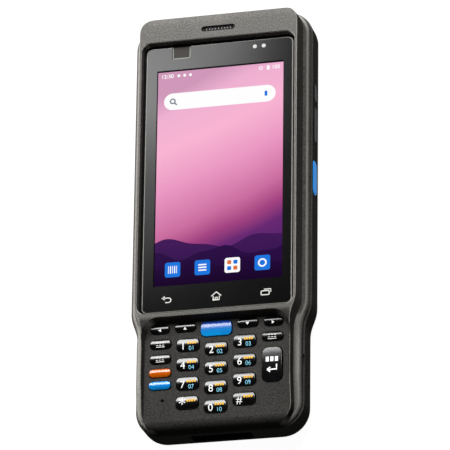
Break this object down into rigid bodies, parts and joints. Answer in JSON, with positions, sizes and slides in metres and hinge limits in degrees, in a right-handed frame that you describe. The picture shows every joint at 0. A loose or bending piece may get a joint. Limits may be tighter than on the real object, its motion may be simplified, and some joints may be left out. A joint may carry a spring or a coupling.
{
  "type": "portable barcode data terminal",
  "caption": "Rugged handheld data terminal: framed touch display above a key pad, scan window in the top end, side triggers, hinged battery door and port cover.",
  "frame": {"origin": "centre of the back, on the plane that the terminal lies on", "axes": "+X right of the display, +Y towards the scanner end, +Z out of the display"},
  "size_m": [0.0706, 0.169, 0.025],
  "materials": {
    "housing": "fine speckled matt moulding, very dark warm grey",
    "seal": "matt black rubber",
    "window_glass": "clear cover glass with black border",
    "display": null,
    "sensor_tint": "smoked brown-black plastic",
    "lamp_lens": "small pale lens",
    "frame_metal": "pressed light alloy",
    "shield_metal": "tinned sheet",
    "circuit": "green solder resist",
    "black_part": "matt black",
    "mat_rubber": "silicone rubber",
    "key_black": "glossy black with a hard coat",
    "key_blue": "glossy clear blue",
    "key_orange": "glossy orange",
    "side_key": "satin black",
    "scan_tint": "dark red tinted window",
    "camera_glass": "black lens glass",
    "flash_lens": "frosted pale lens",
    "battery_label": "dark grey battery case",
    "contact_gold": "gold-plated spring contacts",
    "latch": "satin black",
    "screw_steel": "black zinc-plated steel"
  },
  "bodies": {
    "terminal": {"battery_contacts": "contact_gold", "battery_pack": "battery_label", "board_shields": "shield_metal", "camera_module": "black_part", "camera_window": "camera_glass", "display_panel": "display", "display_window": "window_glass", "earpiece": "black_part", "earpiece_grille": "black_part", "flash_lens": "flash_lens", "front_housing": "housing", "housing_screws": "screw_steel", "housing_seal": "seal", "inner_frame": "frame_metal", "interface_socket": "shield_metal", "keypad_board": "circuit", "keypad_mat": "mat_rubber", "loudspeaker": "black_part", "main_board": "circuit", "microphone": "black_part", "rear_housing": "housing", "scan_engine": "black_part", "scan_window": "scan_tint", "sensor_window": "sensor_tint", "side_boards": "circuit", "side_switches": "black_part", "status_lamps": "lamp_lens", "vibration_motor": "shield_metal", "window_gasket": "seal"},
    "key_0_body": {"key_0": "key_black"},
    "key_1_body": {"key_1": "key_black"},
    "key_2_body": {"key_2": "key_black"},
    "key_3_body": {"key_3": "key_black"},
    "key_4_body": {"key_4": "key_black"},
    "key_5_body": {"key_5": "key_black"},
    "key_6_body": {"key_6": "key_black"},
    "key_7_body": {"key_7": "key_black"},
    "key_8_body": {"key_8": "key_black"},
    "key_9_body": {"key_9": "key_black"},
    "key_back_body": {"key_back": "key_black"},
    "key_blue_body": {"key_blue": "key_blue"},
    "key_clear_body": {"key_clear": "key_black"},
    "key_enter_body": {"key_enter": "key_black"},
    "key_hash_body": {"key_hash": "key_black"},
    "key_left_inner_body": {"key_left_inner": "key_black"},
    "key_left_outer_body": {"key_left_outer": "key_black"},
    "key_orange_body": {"key_orange": "key_orange"},
    "key_right_inner_body": {"key_right_inner": "key_black"},
    "key_right_outer_body": {"key_right_outer": "key_black"},
    "key_scan_body": {"key_scan": "key_blue"},
    "key_star_body": {"key_star": "key_black"},
    "key_tab_body": {"key_tab": "key_black"},
    "power_key_body": {"power_key": "side_key"},
    "volume_key_body": {"volume_key": "side_key"},
    "right_trigger_body": {"right_trigger": "key_blue"},
    "left_trigger_body": {"left_trigger": "key_blue"},
    "battery_cover_body": {"battery_cover": "housing", "battery_catch": "shield_metal"},
    "battery_latch_body": {"battery_latch": "latch"},
    "port_cover_body": {"port_cover": "housing"}
  },
  "joints": [
    {"name": "key_0_press", "type": "slide", "parent": "terminal", "child": "key_0_body", "axis": [0, 0, -1], "range_m": [0, 0.0005], "stiffness_N_per_m": 900, "springref_m": -0.0003},
    {"name": "key_1_press", "type": "slide", "parent": "terminal", "child": "key_1_body", "axis": [0, 0, -1], "range_m": [0, 0.0005], "stiffness_N_per_m": 900, "springref_m": -0.0003},
    {"name": "key_2_press", "type": "slide", "parent": "terminal", "child": "key_2_body", "axis": [0, 0, -1], "range_m": [0, 0.0005], "stiffness_N_per_m": 900, "springref_m": -0.0003},
    {"name": "key_3_press", "type": "slide", "parent": "terminal", "child": "key_3_body", "axis": [0, 0, -1], "range_m": [0, 0.0005], "stiffness_N_per_m": 900, "springref_m": -0.0003},
    {"name": "key_4_press", "type": "slide", "parent": "terminal", "child": "key_4_body", "axis": [0, 0, -1], "range_m": [0, 0.0005], "stiffness_N_per_m": 900, "springref_m": -0.0003},
    {"name": "key_5_press", "type": "slide", "parent": "terminal", "child": "key_5_body", "axis": [0, 0, -1], "range_m": [0, 0.0005], "stiffness_N_per_m": 900, "springref_m": -0.0003},
    {"name": "key_6_press", "type": "slide", "parent": "terminal", "child": "key_6_body", "axis": [0, 0, -1], "range_m": [0, 0.0005], "stiffness_N_per_m": 900, "springref_m": -0.0003},
    {"name": "key_7_press", "type": "slide", "parent": "terminal", "child": "key_7_body", "axis": [0, 0, -1], "range_m": [0, 0.0005], "stiffness_N_per_m": 900, "springref_m": -0.0003},
    {"name": "key_8_press", "type": "slide", "parent": "terminal", "child": "key_8_body", "axis": [0, 0, -1], "range_m": [0, 0.0005], "stiffness_N_per_m": 900, "springref_m": -0.0003},
    {"name": "key_9_press", "type": "slide", "parent": "terminal", "child": "key_9_body", "axis": [0, 0, -1], "range_m": [0, 0.0005], "stiffness_N_per_m": 900, "springref_m": -0.0003},
    {"name": "key_back_press", "type": "slide", "parent": "terminal", "child": "key_back_body", "axis": [0, 0, -1], "range_m": [0, 0.0005], "stiffness_N_per_m": 900, "springref_m": -0.0003},
    {"name": "key_blue_press", "type": "slide", "parent": "terminal", "child": "key_blue_body", "axis": [0, 0, -1], "range_m": [0, 0.0005], "stiffness_N_per_m": 900, "springref_m": -0.0003},
    {"name": "key_clear_press", "type": "slide", "parent": "terminal", "child": "key_clear_body", "axis": [0, 0, -1], "range_m": [0, 0.0005], "stiffness_N_per_m": 900, "springref_m": -0.0003},
    {"name": "key_enter_press", "type": "slide", "parent": "terminal", "child": "key_enter_body", "axis": [0, 0, -1], "range_m": [0, 0.0005], "stiffness_N_per_m": 900, "springref_m": -0.0003},
    {"name": "key_hash_press", "type": "slide", "parent": "terminal", "child": "key_hash_body", "axis": [0, 0, -1], "range_m": [0, 0.0005], "stiffness_N_per_m": 900, "springref_m": -0.0003},
    {"name": "key_left_inner_press", "type": "slide", "parent": "terminal", "child": "key_left_inner_body", "axis": [0, 0, -1], "range_m": [0, 0.0005], "stiffness_N_per_m": 900, "springref_m": -0.0003},
    {"name": "key_left_outer_press", "type": "slide", "parent": "terminal", "child": "key_left_outer_body", "axis": [0, 0, -1], "range_m": [0, 0.0005], "stiffness_N_per_m": 900, "springref_m": -0.0003},
    {"name": "key_orange_press", "type": "slide", "parent": "terminal", "child": "key_orange_body", "axis": [0, 0, -1], "range_m": [0, 0.0005], "stiffness_N_per_m": 900, "springref_m": -0.0003},
    {"name": "key_right_inner_press", "type": "slide", "parent": "terminal", "child": "key_right_inner_body", "axis": [0, 0, -1], "range_m": [0, 0.0005], "stiffness_N_per_m": 900, "springref_m": -0.0003},
    {"name": "key_right_outer_press", "type": "slide", "parent": "terminal", "child": "key_right_outer_body", "axis": [0, 0, -1], "range_m": [0, 0.0005], "stiffness_N_per_m": 900, "springref_m": -0.0003},
    {"name": "key_scan_press", "type": "slide", "parent": "terminal", "child": "key_scan_body", "axis": [0, 0, -1], "range_m": [0, 0.0005], "stiffness_N_per_m": 900, "springref_m": -0.0003},
    {"name": "key_star_press", "type": "slide", "parent": "terminal", "child": "key_star_body", "axis": [0, 0, -1], "range_m": [0, 0.0005], "stiffness_N_per_m": 900, "springref_m": -0.0003},
    {"name": "key_tab_press", "type": "slide", "parent": "terminal", "child": "key_tab_body", "axis": [0, 0, -1], "range_m": [0, 0.0005], "stiffness_N_per_m": 900, "springref_m": -0.0003},
    {"name": "power_key_press", "type": "slide", "parent": "terminal", "child": "power_key_body", "axis": [-1, 0, 0], "range_m": [0, 0.0005], "stiffness_N_per_m": 1200, "springref_m": -0.0003},
    {"name": "right_trigger_press", "type": "slide", "parent": "terminal", "child": "right_trigger_body", "axis": [-1, 0, 0], "range_m": [0, 0.0005], "stiffness_N_per_m": 1200, "springref_m": -0.0003},
    {"name": "left_trigger_press", "type": "slide", "parent": "terminal", "child": "left_trigger_body", "axis": [1, 0, 0], "range_m": [0, 0.0005], "stiffness_N_per_m": 1200, "springref_m": -0.0003},
    {"name": "volume_key_rock", "type": "hinge", "parent": "terminal", "child": "volume_key_body", "pos_m": [0.0322, 0.0381, 0.0111], "axis": [0, 0, 1], "range_deg": [-2, 2], "stiffness_Nm_per_rad": 0.5},
    {"name": "battery_cover_hinge", "type": "hinge", "parent": "terminal", "child": "battery_cover_body", "pos_m": [0, -0.0754, 0.0016], "axis": [-1, 0, 0], "range_deg": [0, 90]},
    {"name": "battery_latch_slide", "type": "slide", "parent": "terminal", "child": "battery_latch_body", "axis": [0, 1, 0], "range_m": [-0.002, 0]},
    {"name": "port_cover_hinge", "type": "hinge", "parent": "terminal", "child": "port_cover_body", "pos_m": [0, -0.08365, 0.00755], "axis": [1, 0, 0], "range_deg": [0, 90]}
  ]
}
